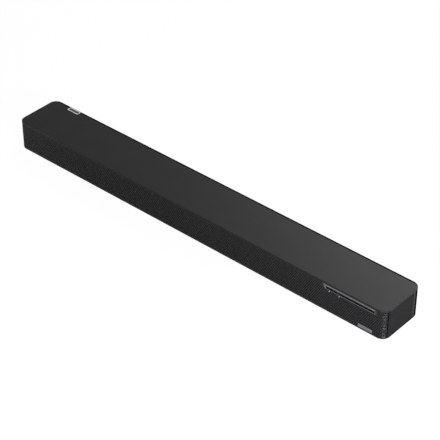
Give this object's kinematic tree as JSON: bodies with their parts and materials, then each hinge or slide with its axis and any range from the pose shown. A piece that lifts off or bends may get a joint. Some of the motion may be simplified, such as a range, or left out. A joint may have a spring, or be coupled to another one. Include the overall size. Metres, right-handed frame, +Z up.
{
  "type": "soundbar",
  "caption": "Long low black soundbar with a perforated wrap-round front grille, smooth top, grey key strip with status lights, and a rear connector bay.",
  "frame": {"origin": "middle of the bar's footprint, on the surface that the feet stand on", "axes": "+X along the bar to the listener's right, +Y from the listener to the wall, +Z up"},
  "size_m": [1, 0.1148, 0.071],
  "materials": {
    "matte_black_plastic": "fine matte moulded texture",
    "grille_steel": "satin black powder coat, perforated",
    "acoustic_cloth": "black open-weave cloth",
    "grey_key_plastic": "satin grey moulded",
    "black_window": "polished black",
    "light_lens": "clear, lit from behind",
    "badge_metal": "satin, blank",
    "pale_plate": "satin, blank",
    "circuit_board": "solder-mask green",
    "baffle_plastic": "moulded",
    "basket_steel": "black lacquer",
    "magnet_steel": "dark zinc",
    "cone_paper": "coated black",
    "suspension_rubber": "matte",
    "spider_cloth": "resin-stiffened weave",
    "tweeter_plastic": "moulded",
    "dome_silk": "coated silk",
    "heat_sink_aluminium": "extruded",
    "standoff_plastic": "natural nylon",
    "socket_plastic": "moulded",
    "socket_steel": "nickel plated",
    "insert_brass": "turned",
    "spacer_aluminium": "turned",
    "screw_steel": "black zinc",
    "foot_rubber": "matte",
    "gasket_foam": "closed-cell foam, dull"
  },
  "bodies": {
    "cabinet": {"top_cover": "matte_black_plastic", "base_tray": "matte_black_plastic", "rear_cover": "matte_black_plastic", "end_cap_left": "matte_black_plastic", "end_cap_right": "matte_black_plastic", "front_grille": "grille_steel", "grille_cloth": "acoustic_cloth", "control_bezel": "grey_key_plastic", "display_window": "black_window", "status_lenses": "light_lens", "front_badge": "badge_metal", "top_plate": "pale_plate", "control_board": "circuit_board", "main_board": "circuit_board", "power_board": "circuit_board", "baffle": "baffle_plastic", "woofer_baskets": "basket_steel", "woofer_magnets": "magnet_steel", "tweeter_magnets": "magnet_steel", "woofer_surrounds": "suspension_rubber", "woofer_spiders": "spider_cloth", "tweeter_frames": "tweeter_plastic", "tweeter_surrounds": "dome_silk", "heat_sink": "heat_sink_aluminium", "board_standoffs": "standoff_plastic", "network_socket": "socket_plastic", "power_inlet": "socket_plastic", "picture_socket": "socket_steel", "service_socket": "socket_steel", "wall_inserts": "insert_brass", "cover_spacers": "spacer_aluminium", "cover_screws": "screw_steel", "foot_front_left": "foot_rubber", "foot_front_right": "foot_rubber", "foot_rear_left": "foot_rubber", "foot_rear_right": "foot_rubber", "seam_gasket_left": "gasket_foam", "seam_gasket_right": "gasket_foam"},
    "key_power": {"key_power": "grey_key_plastic"},
    "key_source": {"key_source": "grey_key_plastic"},
    "key_volume_down": {"key_volume_down": "grey_key_plastic"},
    "key_volume_up": {"key_volume_up": "grey_key_plastic"},
    "key_mode": {"key_mode": "grey_key_plastic"},
    "woofer_cone_left": {"woofer_cone_left": "cone_paper"},
    "tweeter_dome_left": {"tweeter_dome_left": "dome_silk"},
    "woofer_cone_right": {"woofer_cone_right": "cone_paper"},
    "tweeter_dome_right": {"tweeter_dome_right": "dome_silk"}
  },
  "joints": [
    {"name": "key_power_press", "type": "slide", "parent": "cabinet", "child": "key_power", "axis": [0, 1, 0], "range_m": [0, 0.0008], "stiffness_N_per_m": 1500},
    {"name": "key_source_press", "type": "slide", "parent": "cabinet", "child": "key_source", "axis": [0, 1, 0], "range_m": [0, 0.0008], "stiffness_N_per_m": 1500},
    {"name": "key_volume_down_press", "type": "slide", "parent": "cabinet", "child": "key_volume_down", "axis": [0, 1, 0], "range_m": [0, 0.0008], "stiffness_N_per_m": 1500},
    {"name": "key_volume_up_press", "type": "slide", "parent": "cabinet", "child": "key_volume_up", "axis": [0, 1, 0], "range_m": [0, 0.0008], "stiffness_N_per_m": 1500},
    {"name": "key_mode_press", "type": "slide", "parent": "cabinet", "child": "key_mode", "axis": [0, 1, 0], "range_m": [0, 0.0008], "stiffness_N_per_m": 1500},
    {"name": "woofer_left_stroke", "type": "slide", "parent": "cabinet", "child": "woofer_cone_left", "axis": [0, -1, 0], "range_m": [-0.003, 0.003], "stiffness_N_per_m": 1200, "deforming": ["woofer_surrounds", "woofer_spiders"]},
    {"name": "woofer_right_stroke", "type": "slide", "parent": "cabinet", "child": "woofer_cone_right", "axis": [0, -1, 0], "range_m": [-0.003, 0.003], "stiffness_N_per_m": 1200, "deforming": ["woofer_surrounds", "woofer_spiders"]},
    {"name": "tweeter_left_stroke", "type": "slide", "parent": "cabinet", "child": "tweeter_dome_left", "axis": [0, -1, 0], "range_m": [-0.0003, 0.0003], "stiffness_N_per_m": 1500, "deforming": ["tweeter_surrounds"]},
    {"name": "tweeter_right_stroke", "type": "slide", "parent": "cabinet", "child": "tweeter_dome_right", "axis": [0, -1, 0], "range_m": [-0.0003, 0.0003], "stiffness_N_per_m": 1500, "deforming": ["tweeter_surrounds"]}
  ]
}
